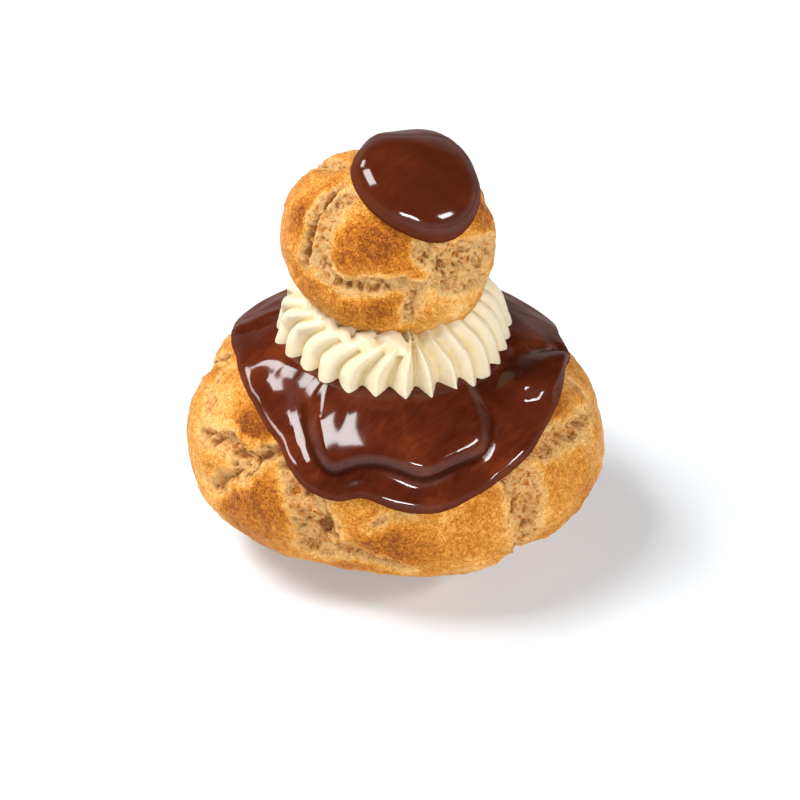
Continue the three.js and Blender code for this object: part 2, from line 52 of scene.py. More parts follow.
# Each bun: the place of its centre, which way and how far it leans, its half widths, its heights above and
# below the centre, how square its section is, its flat foot's level, how far its plates of skin rise and
# how deep its tears are. Swells are rows of azimuth, latitude, spread in degrees and height. Splits are
# lines of azimuth, latitude and half width.
LOWER = dict(
    centre=(-0.3, 0, 20.5),
    lean=(0, 0),
    half=(39.8, 37.8),
    crown=22.8,
    foot=20.8,
    square=2.3,
    floor=-20.0,
    rise=1.3,
    depth=1.9,
    swells=[
        (15, -20, 24, -0.8),
        (-20, -24, 22, -2.5),
        (2, -34, 16, -0.8),
        (30, -8, 16, 0.6),
        (-48, -22, 22, -1.1),
        (48, -30, 14, -2.6),
        (80, -12, 26, 1.0),
        (112, 4, 24, -0.7),
        (150, -6, 28, 0.9),
        (-150, -2, 30, 0.8),
        (-114, -20, 24, -0.9),
        (178, -16, 20, -1.0),
    ],
    splits=[
        [(-31, 24, 1.0), (-41, 20, 1.3), (-49, 14, 2.4), (-58, 16, 1.6), (-65, 14, 1.5), (-74, 10, 1.1)],
        [(-49, 13, 1.9), (-55, 6, 1.4), (-63, -2, 0.9)],
        [(-35, 18, 0.8), (-28, 14, 3.0), (-25, 8, 3.8), (-22, 1, 4.6), (-20, -5, 3.4)],
        [(-26, -6, 1.9), (-14, -4, 1.7), (-5, -7, 1.4), (4, -12, 1.0)],
        [(6, 11, 0.7), (-1, 9, 0.6), (-6, 6, 0.5)],
        [(37, 20, 2.9), (40, 11, 3.9), (40, 2, 3.7), (41, -6, 3.1), (42, -18, 2.2)],
        [(46, 18, 2.2), (58, 17, 2.2), (69, 14, 1.7), (80, 12, 1.1)],
        [(84, 27, 0.9), (87, 20, 0.8), (86, 14, 0.6)],
        [(-88, 26, 0.8), (-84, 20, 0.7), (-76, 16, 0.7)],
        [(-96, 24, 1.0), (-104, 12, 2.2), (-112, 2, 2.9), (-118, -10, 2.0)],
        [(-112, 4, 1.6), (-126, 8, 1.5), (-140, 5, 1.3), (-152, 10, 1.0)],
        [(-166, 20, 1.4), (-170, 8, 2.9), (-176, -4, 3.3), (-178, -16, 1.9)],
        [(180, 2, 1.8), (164, 8, 1.6), (150, 6, 1.2)],
        [(132, 22, 1.0), (128, 10, 2.4), (122, -1, 3.0), (120, -14, 1.9)],
        [(124, 6, 1.5), (112, 2, 1.5), (104, 6, 1.0)],
    ],
    # patches that came out browner or paler: azimuth, latitude, spread in degrees, how much
    browning=[
        (-47, 1, 12, 0.4), (-37, 8, 9, 0.3), (-52, 23, 9, 0.75), (-64, 14, 7, -0.4), (-72, 22, 9, -0.1),
        (-90, 27, 12, 0.2), (-3, 3, 12, 0.3), (4, -6, 14, 0.2), (66, 22, 8, 0.45), (70, 13, 7, -0.5),
        (82, 21, 10, 0.1), (120, 12, 22, 0.3), (168, -4, 24, 0.3), (-150, 14, 24, 0.3),
        (-118, -14, 18, 0.2),
    ],
    # deep seams: each one's depth, and its line of azimuth, latitude and half width
    seams=[
        (1.0, [(-19, 8, 0.4), (-19, 6, 0.7), (-21, 3, 0.9), (-17, 0, 0.7), (-14, -2, 0.5), (-9, -4, 0.3)]),
        (
            0.8,
            [
                (-69, 6, 0.4), (-66, 10, 0.7), (-61, 10, 0.6), (-57, 13, 0.7), (-53, 17.5, 0.5),
                (-43, 17, 0.4),
            ],
        ),
        (0.6, [(-66, 0, 0.3), (-62, 5, 0.5), (-61, 10, 0.4)]),
        (0.8, [(38, 17, 0.4), (34.5, 12, 0.7), (33, 8, 0.8), (34, 2, 0.6), (36.5, -4, 0.4)]),
    ],
    # caves in the torn crumb: azimuth, latitude, radius, depth
    caves=[
        (-20.5, 2, 2.4, 1.8), (-54, 15, 1.8, 1.3), (-65, 10, 1.6, 1.2), (-46, 16, 1.7, 1.0),
        (-33, 20, 1.8, 0.9), (-27, 12, 1.6, 0.8), (37, 6, 2.2, 1.4), (38.5, 16, 1.8, 1.1),
        (42, -4, 1.8, 1.0), (-168, 2, 2.2, 1.2), (128, 4, 2.2, 1.2), (-106, 6, 2.0, 1.1),
    ],
)

UPPER = dict(
    centre=(-1.1, 0, 64.5),
    lean=(58, 22),
    half=(20.4, 18.9),
    crown=17.3,
    foot=16.2,
    square=2.1,
    floor=-15.8,
    rise=0.8,
    depth=1.1,
    swells=[
        (-70, -6, 26, -0.8),
        (-105, 34, 24, -2.3),
        (-158, 48, 26, -3.7),
        (84, 44, 15, 0.6),
        (60, 4, 22, 0.4),
        (96, 2, 26, -1.7),
        (150, 6, 30, 0.4),
    ],
    splits=[
        [
            (-71, 41, 0.3), (-69, 37, 0.7), (-67, 32, 1.0), (-65, 23, 1.3), (-60, 16, 1.3), (-56, 6, 1.4),
            (-53, -5, 1.4),
        ],
        [(-59, 43, 1.3), (-55, 31, 1.8), (-50, 20, 2.1), (-46, 7, 2.0), (-38, 1, 1.6)],
        [(-37, 1, 1.2), (-26, 2, 1.6), (-17, 7, 1.6), (-8, 12, 1.4), (3, 17, 1.1), (14, 16, 1.1)],
        [(12, 15, 0.7), (14, 5, 0.9), (15, -7, 0.5)],
        [(12, 37, 1.9), (30, 32, 3.2), (51, 30, 3.2), (77, 23, 2.0)],
        [(25, 20, 1.6), (47, 17, 1.9), (67, 10, 1.3)],
        [(100, 40, 1.0), (108, 22, 2.0), (112, 6, 2.2), (110, -8, 1.4)],
        [(112, 10, 1.4), (130, 12, 1.3), (150, 8, 1.0)],
        [(-112, 36, 0.9), (-120, 18, 1.9), (-128, 2, 2.1), (-130, -12, 1.2)],
        [(170, 34, 0.9), (176, 16, 1.7), (178, -2, 1.5)],
    ],
    browning=[
        (-24, 26, 14, 0.45), (-39, 29, 9, 0.3), (-14, 38, 12, 0.3), (-72, 14, 12, 0.5), (-6, -9, 18, 0.4),
        (-43, -11, 12, 0.3), (77, 45, 12, 0.4), (22, 10, 9, -0.2), (46, 24, 16, -0.2), (42, 4, 14, -0.25),
        (-90, 34, 12, 0.1), (140, 20, 26, 0.3), (-150, 10, 26, 0.3),
    ],
    seams=[
        (
            0.9,
            [
                (-76, 45, 0.3), (-70, 38, 0.5), (-65, 29, 0.6), (-61, 19, 0.7), (-58.5, 5, 0.7),
                (-54, -6, 0.6), (-56, -18, 0.5),
            ],
        ),
        (
            0.35,
            [(-38, -2, 0.3), (-31, -1, 0.5), (-24, 1.5, 0.7), (-17, 4, 0.5), (-7, 9.5, 0.4), (3, 13, 0.3)],
        ),
        (0.35, [(20, -10, 0.3), (15.5, 3, 0.4), (12.5, 10, 0.4), (17.5, 19, 0.3), (26, 28.5, 0.3)]),
        (0.3, [(36, 30, 0.3), (50, 34, 0.4), (66, 31, 0.3)]),
        (0.3, [(29, 9.5, 0.3), (42, 10.5, 0.4), (57, 14.5, 0.3)]),
    ],
    caves=[
        (-24, 1.5, 1.3, 0.9), (-31, -1, 1.1, 0.7), (-17, 4, 0.9, 0.6), (-7, 10, 0.9, 0.5),
        (-51, -3, 1.0, 0.6), (-58.5, 5, 1.1, 0.9), (-62, 19, 1.1, 1.0), (-65, 28, 1.0, 0.9),
        (-70, 38, 0.9, 0.7), (12, 2, 0.8, 0.5), (30, 30, 1.0, 0.5), (52, 28, 1.0, 0.5),
        (108, 20, 1.2, 0.8), (-122, 14, 1.2, 0.8),
    ],
)

# The relief that the icings lie on too: heights and sizes of the crust's waves, how far and over what
# length the tears' edges wander, how wide a plate's shoulder is, and the crust's middle height as a share
# of a plate's rise.
WAVES = ((0.45, 9), (0.2, 4.5))
WANDER = (0.5, 3.1)
SHOULDER = 1.8
MIDDLE_HEIGHT = 0.8

# Each icing: its thickness, the width of its rounded edge, how far in from the edge it is dull, the bead
# along its edge, how far it levels out the crust's relief, how much its top waves, the reach where its fine
# rows start, and its outline of azimuth and reach. Folds are heights with lines as on the buns.
LOWER_ICING = dict(
    bun=LOWER,
    thickness=1.5,
    edge=1.9,
    dull=2.6,
    bead=0.5,
    level=0.45,
    waves=1,
    hidden=40,
    outline=[
        (-165, 64), (-136, 65), (-120, 67), (-105, 63.5), (-87, 59.5), (-71, 59.5), (-57, 61), (-48, 63.5),
        (-39, 66.5), (-32, 71.5), (-25, 75.5), (-16, 76.5), (-8, 75), (2, 78.3), (9, 79.3), (16, 78.7),
        (24, 76.3), (34, 74), (45, 71.3), (54, 68), (73, 64.6), (84, 64.3), (93, 66.2), (104, 65.5),
        (118, 69.5), (130, 66), (145, 64), (160, 67), (177, 69),
    ],
    # the rounded edge of the second pour: azimuth, reach, how much of it shows
    terrace=[
        (-90, 52, 0), (-58, 50, 0.05), (-43, 51, 0.25), (-36, 57, 0.5), (-28, 63.5, 0.8), (-19, 69, 1),
        (-10, 66.3, 1), (-2, 66, 1), (9, 69.3, 1), (20, 67.4, 1), (30, 66, 0.85), (37, 60, 0.55),
        (43, 53, 0.3), (56, 50, 0.1), (90, 52, 0), (180, 52, 0),
    ],
    terrace_height=1.8,
    terrace_slope=(14, 3.4),
    terrace_foot=1.3,
    terrace_fade=34,
    folds=[
        (2.1, [(58, 36.5, 2.4), (67, 34.5, 3.4), (78, 32, 3.4), (87, 30, 2.4)]),
        (-1.2, [(54, 41.5, 1.2), (66, 41.4, 1.6), (78, 40, 1.6), (87, 35, 1.4), (93, 28, 1.2)]),
        (-1.2, [(47, 43, 2.2), (46, 39.5, 3.0), (46, 35, 3.4), (45, 31, 3.0), (42, 27, 2.0)]),
        (1.0, [(1, 46, 5.5), (2, 40, 6.5), (4, 29, 6.0)]),
        (-0.8, [(-62, 36, 3.0), (-50, 35, 4.0), (-42, 32, 4.4), (-34, 27, 3.0)]),
        (0.8, [(-112, 44, 1.5), (-108, 36, 2.2), (-104, 30, 1.6)]),
        (0.9, [(-158, 44, 1.6), (-160, 36, 2.4), (-160, 30, 1.8)]),
        (0.9, [(150, 42, 1.5), (146, 35, 2.4), (144, 29, 1.6)]),
        (-0.8, [(-176, 44, 1.5), (178, 36, 2.0), (176, 30, 1.2)]),
    ],
)

UPPER_ICING = dict(
    bun=UPPER,
    thickness=3.5,
    edge=4.5,
    dull=2.2,
    bead=0,
    level=0.7,
    waves=0.3,
    hidden=4,
    outline=[
        (-172, 55), (-150, 50), (-130, 44.5), (-110, 39.5), (-90, 39), (-75, 40.4), (-58, 41.6), (-40, 43),
        (-22, 44.4), (-5, 45.6), (10, 47.2), (24, 47.6), (38, 46), (52, 42.6), (66, 39), (82, 36),
        (100, 34), (120, 35.5), (140, 40), (155, 47), (168, 54),
    ],
    folds=[
        (0.5, [(-160, 62, 7.5), (-150, 72, 8.0), (0, 88, 8.0)]),
        (0.8, [(-166, 46, 5.5), (-174, 45, 5.5)]),
    ],
)

ICING_GAP = 0.3  # between an icing and the crust under it
ICING_LIP = 3  # how far in from the outline the folds and ripples come up
# rows of an icing's underside: how far in from the outline, and how high over the plain bun
ICING_BACK = ((0.25, 0.1), (1.0, -0.5), (3.0, -0.8), (9.0, -0.8))

# Each piped shell: azimuth, radius of its tip, depth of the grooves beside it, how sharp its crest is, how
# far its top is turned aside, how far its shelf stands out over its tip.
SHELLS = [
    (-172, 23.6, 2.2, 0.3, 10, 0.2), (-158, 23.4, 2.2, 0.2, 12, 0.3), (-144, 23.7, 2.3, 0.2, 15, 0.5),
    (-129, 23.4, 2.3, 0.1, 18, 0.6), (-115, 23.2, 2.4, 0.1, 20, 0.7), (-100, 23, 2.6, 0.1, 22, 0.8),
    (-85.5, 22.7, 2.7, 0.1, 23, 0.9), (-71, 21.9, 2.8, 0.1, 23, 1), (-54.5, 21.2, 2.8, 0.1, 23, 1),
    (-37.5, 22.1, 2.9, 0.1, 23, 1), (-22.3, 23.5, 3, 0.2, 20, 0.9), (-8.3, 24.1, 3, 0.5, 13, 0.6),
    (6.3, 24.9, 2.8, 0.8, 5, 0.2), (17.9, 24.9, 2.9, 1, -4, 0), (31.3, 23.9, 2.5, 0.8, -8, 0),
    (42, 23.3, 2, 0.5, -8, 0), (53.5, 23.4, 1.9, 0.4, -7, 0), (65, 22.9, 1.8, 0.3, -6, 0),
    (77, 22.9, 1.8, 0.2, -5, 0), (89, 23.2, 1.9, 0.2, -4, 0), (103, 24.1, 2.1, 0.2, -2, 0),
    (117, 24, 2.1, 0.2, 0, 0), (131, 23.8, 2.1, 0.2, 3, 0.1), (145, 23.6, 2.2, 0.3, 6, 0.1),
    (159, 23.8, 2.2, 0.3, 8, 0.2),
]
CREST = [(12.5, 52.5), (18.3, 56.6), (21.6, 51.8), (23.6, 42.2)]  # radius and height along a shell's crest
TURNED = (0.36, 0.86)  # where along its crest a shell swings from its turned top to its own azimuth
SHELF = (0.58, 0.14)  # where along the crest the shelf is, and how long
UNDERSIDE = (18.5, 40)  # radius and height of the collar's foot
COLLAR_AXIS = (-0.6, 0, 0)
# The small curls by the small bun: corners of the path as azimuth, radius and height, then half width, half
# height and how sharp the crest is.
CURLS = [
    ([(-78, 15.6, 52.6), (-73, 17.4, 53.4), (-68, 18.0, 53.2), (-64, 18.2, 52.0)], 1.4, 0.9, 0.3),
    ([(-62, 15.4, 52.8), (-58, 16.8, 54.0), (-53, 17.8, 54.0), (-48, 17.6, 52.8)], 1.5, 1.0, 0.3),
    ([(-47, 15.6, 52.8), (-44, 17.0, 53.6), (-40, 17.9, 53.2), (-37, 18.6, 52.0)], 1.2, 0.9, 0.4),
    ([(-36, 15.9, 52.8), (-33, 17.5, 54.0), (-29, 18.6, 53.6), (-26, 19.2, 52.2)], 1.3, 1.0, 0.4),
    ([(-24, 16.4, 53.0), (-20, 18.4, 54.3), (-14, 19.8, 53.4), (-8, 20.3, 51.4)], 1.9, 1.1, 0.8),
    ([(-10, 16.4, 53.2), (-6, 18.4, 54.6), (2, 19.8, 54.2), (9, 20.6, 51.6)], 2.3, 1.2, 0.9),
]
CREAM_VOXEL = 0.27  # the grid on which the shells and curls are fused

# ------------------------------------------------------------------ sums


def direction(azimuth, latitude):
    """The unit vector of an azimuth and a latitude in degrees."""
    a, b = np.radians(azimuth), np.radians(latitude)
    return np.stack([np.cos(b) * np.sin(a), -np.cos(b) * np.cos(a), np.sin(b) + 0 * a], -1)


def smooth(x, low, high):
    """0 at low, 1 at high and beyond, with a soft start and end. High may be the lesser of the two."""
    t = np.clip((x - low) / (high - low), 0, 1)
    return t * t * (3 - 2 * t)


def mix(a, b, t):
    """A at 0, b at 1 and a straight line between."""
    return a + (b - a) * t


def lattice_noise(points, size, seed, period=32):
    """Smooth noise between -1 and 1 whose bumps are about size across."""
    table = np.random.default_rng(seed).random((period, period, period)) * 2 - 1
    q = points / size + 7.3 * (seed % 11)
    cell = np.floor(q).astype(int)
    t = q - cell
    t = t * t * (3 - 2 * t)
    total = 0
    for corner in np.ndindex(2, 2, 2):
        weight = np.prod([t[..., k] if corner[k] else 1 - t[..., k] for k in range(3)], axis=0)
        i, j, k = [(cell[..., n] + corner[n]) % period for n in range(3)]
        total = total + weight * table[i, j, k]
    return total


def rough(points, size, octaves, seed):
    """Noise added up over octaves, each half the size and half the height of the last."""
    return sum(lattice_noise(points, size / 2**n, seed + n) / 2**n for n in range(octaves))


def nearest_cell(points, size, seed, period=16):
    """Distance to the nearest of scattered points, as a share of size."""
    table = np.random.default_rng(seed).random((period, period, period, 3))
    q = points / size + 3.1 * seed
    base = np.floor(q).astype(int)
    near = np.full(points.shape[:-1], np.inf)
    for step in np.ndindex(3, 3, 3):
        cell = base + np.array(step) - 1
        i, j, k = [cell[..., n] % period for n in range(3)]
        near = np.minimum(near, np.linalg.norm(cell + table[i, j, k] - q, axis=-1))
    return near


def unevenness(p, size):
    """The part's own slow waves, between about -1 and 1."""
    k = math.pi / size
    x, y, z = p[..., 0], p[..., 1], p[..., 2]
    slow = np.sin(k * (x + 0.6 * y) + 1.3) * np.cos(k * (z - 0.4 * x) + 0.4)
    quick = np.sin(1.7 * k * (y - 0.5 * z) + 2.1) * np.cos(1.3 * k * (x + 0.7 * z) + 5.2)
    return 0.5 * (slow + quick)


def spot(d, azimuth, latitude, spread):
    """A round bump of height 1 about a direction, spread in degrees, read in the directions d."""
    angle = np.degrees(np.arccos(np.clip(d @ direction(azimuth, latitude), -1, 1)))
    return np.exp(-((angle / spread) ** 2))


def round_curve(points, azimuth, column=1):
    """A closed Catmull-Rom curve through rows of rising azimuth with their values, read at azimuths."""
    at, value = np.array([(p[0], p[column]) for p in points], float).T
    n = len(at)
    a = (np.asarray(azimuth, float) - at[0]) % 360 + at[0]
    i = np.searchsorted(at, a, side="right") - 1
    span = np.where(i == n - 1, at[0] + 360 - at[-1], at[(i + 1) % n] - at[i])
    t = (a - at[i]) / span
    w, x, y, z = [value[(i + k) % n] for k in (-1, 0, 1, 2)]
    return 0.5 * (2 * x + (y - w) * t + (2 * w - 5 * x + 4 * y - z) * t**2 + (3 * x - w - 3 * y + z) * t**3)


def slant(points, azimuth):
    """How much longer the way to a curve is along a meridian than straight across, where it runs aslant."""
    turn = round_curve(points, azimuth + 0.5) - round_curve(points, azimuth - 0.5)
    return np.hypot(1, turn / np.sin(np.radians(round_curve(points, azimuth))))


def bezier(points, t):
    """A cubic curve with four corners, read at t from 0 to 1."""
    a, b, c, d = [np.asarray(p, float) for p in points]
    t = np.asarray(t)[..., None]
    return (1 - t) ** 3 * a + 3 * (1 - t) ** 2 * t * b + 3 * (1 - t) * t**2 * c + t**3 * d


# ------------------------------------------------------------------ bun surfaces


def plain_radius(bun, d):
    """The bun's radius in a direction, without its crust."""
    upright = np.abs(d[..., 2]) / np.where(d[..., 2] > 0, bun["crown"], bun["foot"])
    across = np.hypot(d[..., 0] / bun["half"][0], d[..., 1] / bun["half"][1])
    radius = (across ** bun["square"] + upright ** bun["square"]) ** (-1 / bun["square"])
    for azimuth, latitude, spread, height in bun["swells"]:
        radius = radius + height * spot(d, azimuth, latitude, spread)
    return radius


def nearest(pairs):
    """The least distance at each point, and the width that goes with it, from pairs of the two."""
    best, width = next(pairs)
    for distance, half in pairs:
        closer = distance < best
        best = np.where(closer, distance, best)
        width = np.where(closer, half, width)
    return best, width


def outside_stretch(p, start, end):
    """How far points lie outside a stretch between two (place, half width) pairs, and its half width."""
    along = end[0] - start[0]
    t = np.clip((p - start[0]) @ along / (along @ along), 0, 1)
    half = mix(start[1], end[1], t)
    return np.linalg.norm(p - start[0] - t[..., None] * along, axis=-1) - half, half


def outside_line(bun, path, p):
    """How far points lie outside the edge of a line on a bun, and the line's half width beside them."""
    azimuth, latitude, half = np.array(path, float).T
    d = direction(azimuth, latitude)
    line = list(zip(d * plain_radius(bun, d)[:, None], half))
    return nearest(outside_stretch(p, start, end) for start, end in zip(line, line[1:]))


def outside_splits(bun, p):
    """How far points lie outside the nearest tear, and half that tear's width."""
    return nearest(outside_line(bun, path, p) for path in bun["splits"])


def waves(p):
    """The slow waves of a bun's whole surface."""
    return sum(height * unevenness(p, size) for height, size in WAVES)


def wandering(p):
    """How far the tears' edges wander."""
    return WANDER[0] * unevenness(p, WANDER[1])


def plates(bun, outside):
    """How high the plates of skin rise from the tears between them."""
    return bun["rise"] * (1 - np.exp(-np.maximum(outside, 0) / SHOULDER))


def slow_crust(bun, p, outside):
    """The crust's height without its fine detail: what icing lies on."""
    return np.maximum(plates(bun, outside) + waves(p), 0.4 * bun["rise"])


def skin_relief(bun, p, scale, outside):
    """Browned skin: domed, dimpled and wrinkled, with flakes lifted here and there along its edges."""
    flake = 0.45 * scale * np.exp(-(((outside - 0.5 * scale) / (0.6 * scale)) ** 2))
    flake = flake * smooth(lattice_noise(p, 1.8 * scale, 17), 0.0, 0.6)
    wrinkle = 1 - 2 * np.abs(rough(p * np.array([1, 1, 1.8]), 3.0 * scale, 3, 27))
    dimples = 0.2 * rough(p, 3.4, 3, 21) - 0.2 * scale * np.abs(rough(p, 1.7, 2, 25))
    dimples = dimples + 0.1 * scale * wrinkle
    return waves(p) + plates(bun, outside) + flake + dimples * smooth(outside, 0, 2)


def crumb_relief(bun, p, scale, outside, half, pull, airy):
    """Torn crumb: a gully of strands between holes of mixed size. Returns its height and its hollowness."""
    gully = bun["depth"] * smooth(-outside, 0, 0.8 * half) * np.minimum(1, half / 1.2)
    hole = smooth(nearest_cell(p + 0.7 * scale * pull, 1.5 * scale, 5), 0.62, 0.12) * (0.2 + 0.9 * airy)
    pore = smooth(nearest_cell(p + 0.4 * scale * pull, 0.75 * scale, 9), 0.55, 0.12)
    strand = 1 - 2 * np.abs(rough(p * np.array([1, 1, 0.6]), 1.7 * scale, 3, 47))
    lumps = 0.8 * hole + 0.3 * pore - 0.4 * strand - 0.5 * rough(p, 2.8, 3, 41)
    return waves(p) - gully - scale * lumps, 0.8 * hole + 0.4 * pore - 0.3 * strand


def cave_depth(bun, p, scale, pull, airy):
    """How deep the caves and seams cut into the crust."""
    cave = np.zeros(p.shape[:-1])
    for azimuth, latitude, radius, depth in bun["caves"]:
        d = direction(azimuth, latitude)
        distance = np.linalg.norm(p - d * plain_radius(bun, d) + 0.5 * radius * pull, axis=-1)
        cave = np.maximum(cave, depth * smooth(distance, radius, 0.3 * radius))
    for depth, path in bun["seams"]:
        distance, width = outside_line(bun, path, p + 0.9 * scale * pull)
        seam = smooth(-distance, -0.8 * width, 0.8 * width) * (0.45 + 0.55 * airy)
        cave = np.maximum(cave, depth * seam)
    return cave


def browning(bun, p, scale, outside):
    """How browned the skin is, from 0 to 1: less along its torn edges."""
    browned = 0.42 + 0.2 * rough(p, 8 * scale, 3, 51)
    d = p / np.linalg.norm(p, axis=-1)[..., None]
    for azimuth, latitude, spread, amount in bun["browning"]:
        browned = browned + amount * spot(d, azimuth, latitude, spread)
    return np.clip(browned, 0, 1) * mix(0.2, 1, smooth(outside, 0, 2.6 * scale))


def crust(bun, p, scale):
    """The crust's height above the plain bun, how far each point is torn crumb, how browned, and how
    hollow, where the material paints shade.

    Scale is how coarse the fine relief is, with 1 for the large bun.
    """
    outside, half = outside_splits(bun, p)
    frayed = 0.9 * rough(p, 2.6, 4, 11) + 0.4 * lattice_noise(p, 0.8, 15)
    outside = outside + wandering(p) + scale * frayed
    pull = np.stack([lattice_noise(p, 1.5 * scale, seed) for seed in (31, 32, 33)], -1)
    airy = smooth(lattice_noise(p, 3.4 * scale, 45), -0.5, 0.5)
    crumb, porous = crumb_relief(bun, p, scale, outside, half, pull, airy)
    cave = cave_depth(bun, p, scale, pull, airy)
    height = mix(crumb, skin_relief(bun, p, scale, outside), smooth(outside, -0.3, 0.4)) - cave
    torn = smooth(outside, 1.1 * scale, -0.7 * scale)
    hollow = torn * np.clip(porous, 0, 1) + 1.1 * cave / (1.2 * scale)
    return height, torn, browning(bun, p, scale, outside), np.clip(hollow, 0, 1)


def placed(bun, p):
    """Points of a bun's own frame in the part's frame, in metres."""
    azimuth, angle = bun["lean"]
    if angle:
        k = np.cross([0, 0, 1.0], direction(azimuth, 0))
        k /= np.linalg.norm(k)
        t = math.radians(angle)
        p = p * math.cos(t) + np.cross(k, p) * math.sin(t) + k * (p @ k)[..., None] * (1 - math.cos(t))
    return (p + np.array(bun["centre"]) + SHIFT) * MM


# ------------------------------------------------------------------ meshes


def make_piece(mesh, marks, material, node):
    """A visible piece in a node's place, whose mesh carries the marks that its material reads."""
    for key, values in marks.items():
        layer = mesh.attributes.new(key, "FLOAT", "POINT")
        layer.data.foreach_set("value", np.asarray(values, dtype=np.float32))
    mesh.shade_smooth()
    mesh.materials.clear()
    mesh.materials.append(material)
    obj = bpy.data.objects.new(node, mesh)
    bpy.context.scene.collection.objects.link(obj)
    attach(obj, "root")
    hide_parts(node)


def new_mesh(name, points, faces):
    mesh = bpy.data.meshes.new(name)
    mesh.from_pydata(points.tolist(), [], faces)
    return mesh


def ring_faces(rows, columns):
    """Faces of a closed surface: a first point, rows of columns, a last point."""
    i = np.arange(columns)
    j = (i + 1) % columns
    last = 1 + rows * columns
    faces = [(0, int(a), int(b)) for a, b in zip(1 + i, 1 + j)]
    for row in range(rows - 1):
        a = 1 + row * columns
        b = a + columns
        faces += np.stack([a + i, b + i, b + j, a + j], 1).tolist()
    a = 1 + (rows - 1) * columns
    faces += [(int(p), last, int(q)) for p, q in zip(a + i, a + j)]
    return faces


def make_bun(node, bun, columns, rows, scale, material):
    """A bun whose rows are given as stretches of latitudes: from, to and how many."""
    azimuths = np.arange(columns) * 360 / columns
    latitudes = np.concatenate([np.linspace(*row) for row in rows])
    between = direction(*np.meshgrid(azimuths, latitudes)).reshape(-1, 3)
    d = np.concatenate([[[0, 0, 1.0]], between, [[0, 0, -1.0]]])
    p = d * plain_radius(bun, d)[:, None]
    height, torn, browned, hollow = crust(bun, p, scale)
    p = p + d * height[:, None]
    p[:, 2] = np.maximum(p[:, 2], bun["floor"])
    on_tray = smooth(d[:, 2], -0.5, -0.85)
    # hollow: where the crust's material paints shade in caves, seams and holes
    marks = {"torn": torn, "browned": mix(browned, 1, 0.5 * on_tray), "hollow": hollow}
    mesh = new_mesh(node, placed(bun, p), ring_faces(len(latitudes), columns))
    make_piece(mesh, marks, material, node)


def icing_rows(icing, azimuth, rows):
    """The reach of each mesh row, and the outline's reach, slant and millimetres a degree, at each azimuth.

    Rows are how many lie before the second pour's edge, between that and the rim, and round the rim.
    """
    outline = round_curve(icing["outline"], azimuth)
    aslant = slant(icing["outline"], azimuth)
    per_degree = math.radians(1) * plain_radius(icing["bun"], direction(azimuth, 90 - outline))
    rim = icing["edge"] * (1 - np.cos(np.linspace(math.pi / 2, 0, rows[2])))
    rim_reach = outline - rim[:, None] * aslant / per_degree
    inner = rim_reach[0]
    hidden = icing["hidden"]
    if "terrace" in icing:
        crease = np.minimum(round_curve(icing["terrace"], azimuth), inner - 2.5)
        before, after = np.linspace(0, 1, rows[0]), np.linspace(0, 1, rows[1] + 1)[1:-1]
        reach = [mix(hidden, crease, 1 - (1 - t) ** 1.25) for t in before]
        reach += [mix(crease, inner, t**1.15) for t in after]
    else:
        reach = [mix(hidden, inner, t) for t in np.linspace(0, 1, rows[0] + rows[1])[:-1]]
    middle = [np.full_like(azimuth, h) for h in np.linspace(0, hidden, 7)[1:-1]]
    return np.concatenate([np.array(middle + reach), rim_reach]), outline, aslant, per_degree


def second_pour(icing, azimuth, reach, per_degree):
    """The second pour's height, and how near each point is to the foot of its rounded edge, where the
    icing's material paints a shadow line.
    """
    at = round_curve(icing["terrace"], azimuth)
    behind = (at - reach) * per_degree / slant(icing["terrace"], azimuth)
    shown = np.clip(round_curve(icing["terrace"], azimuth, 2), 0, 1)
    across = np.clip(behind / mix(*icing["terrace_slope"], shown), 0, 1)
    step = (1 - (1 - across) ** 2) ** icing["terrace_foot"]
    fade = 1 - smooth(behind, 0, icing["terrace_fade"])
    hollow = 0.3 * np.exp(-(((behind + 1.8) / 1.8) ** 2))
    foot = np.exp(-(((across - 0.02) / 0.17) ** 2)) * smooth(behind, -1.2, 0)
    return icing["terrace_height"] * shown * (step * fade - hollow), shown * foot


